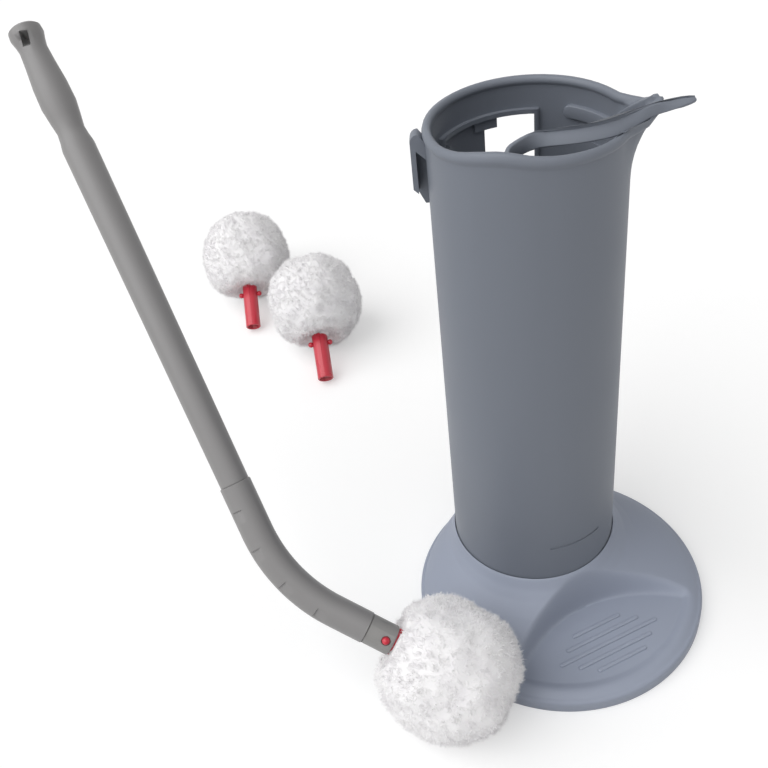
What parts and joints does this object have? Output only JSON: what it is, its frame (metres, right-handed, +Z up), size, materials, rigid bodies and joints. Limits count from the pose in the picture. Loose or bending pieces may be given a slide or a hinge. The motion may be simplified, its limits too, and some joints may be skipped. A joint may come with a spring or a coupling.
{
  "type": "toilet brush with holder",
  "caption": "Swab-head toilet brush with a bent sleeve and shaped grip, a tall cup holder on a round base, and spare swab heads with clip-in stems.",
  "frame": {"origin": "on the floor on the axis of the holder's tube, at the base's underside", "axes": "+Z up; the base's foot recess faces -Y; +X is to the right seen from the recess"},
  "size_m": [0.3924, 0.7748, 0.473],
  "materials": {
    "holder_grey": "fine-grained moulded plastic, satin",
    "base_grey": "fine-grained moulded plastic, matte",
    "handle_grey": "smooth moulded plastic, satin",
    "collar_grey": "smooth moulded plastic, satin",
    "core_red": "glossy red plastic",
    "pile_white": "fluffy white fibre pile",
    "binding_white": "plain white plastic",
    "steel": "zinc-plated screw steel"
  },
  "bodies": {
    "holder": {"base_plate": "base_grey", "base_screw_1": "steel", "base_screw_2": "steel", "base_screw_3": "steel", "holder_tube": "holder_grey"},
    "brush_swab": {"brush_swab_pile": "pile_white", "brush_swab_core": "core_red", "brush_swab_binding_ring": "binding_white"},
    "brush_swab_front_tongue": {"brush_swab_front_tongue": "core_red"},
    "brush_swab_rear_tongue": {"brush_swab_rear_tongue": "core_red"},
    "brush_handle": {"socket_connector": "collar_grey", "elbow_sleeve": "handle_grey", "handle_tube": "handle_grey"},
    "spare_one": {"spare_one_pile": "pile_white", "spare_one_core": "core_red", "spare_one_binding_ring": "binding_white"},
    "spare_one_front_tongue": {"spare_one_front_tongue": "core_red"},
    "spare_one_rear_tongue": {"spare_one_rear_tongue": "core_red"},
    "spare_two": {"spare_two_pile": "pile_white", "spare_two_core": "core_red", "spare_two_binding_ring": "binding_white"},
    "spare_two_front_tongue": {"spare_two_front_tongue": "core_red"},
    "spare_two_rear_tongue": {"spare_two_rear_tongue": "core_red"}
  },
  "joints": [
    {"name": "brush_lift", "type": "slide", "parent": "holder", "child": "brush_swab", "axis": [0, 0, 1], "range_m": [0, 0.46]},
    {"name": "handle_pull", "type": "slide", "parent": "brush_swab", "child": "brush_handle", "axis": [-0.6432, 0.6248, 0.4427], "range_m": [0, 0.065], "deforming": ["brush_swab_front_tongue", "brush_swab_rear_tongue"]},
    {"name": "spare_one_lift", "type": "slide", "parent": "holder", "child": "spare_one", "axis": [0, 0, 1], "range_m": [0, 0.46]},
    {"name": "spare_two_lift", "type": "slide", "parent": "holder", "child": "spare_two", "axis": [0, 0, 1], "range_m": [0, 0.46]},
    {"name": "brush_swab_front_tongue_flex", "type": "hinge", "parent": "brush_swab", "child": "brush_swab_front_tongue", "pos_m": [-0.19096, -0.05605, 0.09792], "axis": [0.7209, 0.2991, 0.6252], "range_deg": [0, 10.5], "stiffness_Nm_per_rad": 0.6},
    {"name": "brush_swab_rear_tongue_flex", "type": "hinge", "parent": "brush_swab", "child": "brush_swab_rear_tongue", "pos_m": [-0.18688, -0.04466, 0.08776], "axis": [-0.7209, -0.2991, -0.6252], "range_deg": [0, 10.5], "stiffness_Nm_per_rad": 0.6},
    {"name": "spare_one_front_tongue_flex", "type": "hinge", "parent": "spare_one", "child": "spare_one_front_tongue", "pos_m": [-0.11165, 0.49301, 0.01717], "axis": [0.1819, 0.4997, -0.8469], "range_deg": [0, 10.5], "stiffness_Nm_per_rad": 0.6},
    {"name": "spare_one_rear_tongue_flex", "type": "hinge", "parent": "spare_one", "child": "spare_one_rear_tongue", "pos_m": [-0.09681, 0.48761, 0.01717], "axis": [-0.1819, -0.4997, 0.8469], "range_deg": [0, 10.5], "stiffness_Nm_per_rad": 0.6},
    {"name": "spare_two_front_tongue_flex", "type": "hinge", "parent": "spare_two", "child": "spare_two_front_tongue", "pos_m": [-0.07289, 0.34969, 0.01701], "axis": [0.1601, 0.4926, -0.8554], "range_deg": [0, 10.5], "stiffness_Nm_per_rad": 0.6},
    {"name": "spare_two_rear_tongue_flex", "type": "hinge", "parent": "spare_two", "child": "spare_two_rear_tongue", "pos_m": [-0.05786, 0.34481, 0.01701], "axis": [-0.1601, -0.4926, 0.8554], "range_deg": [0, 10.5], "stiffness_Nm_per_rad": 0.6}
  ]
}
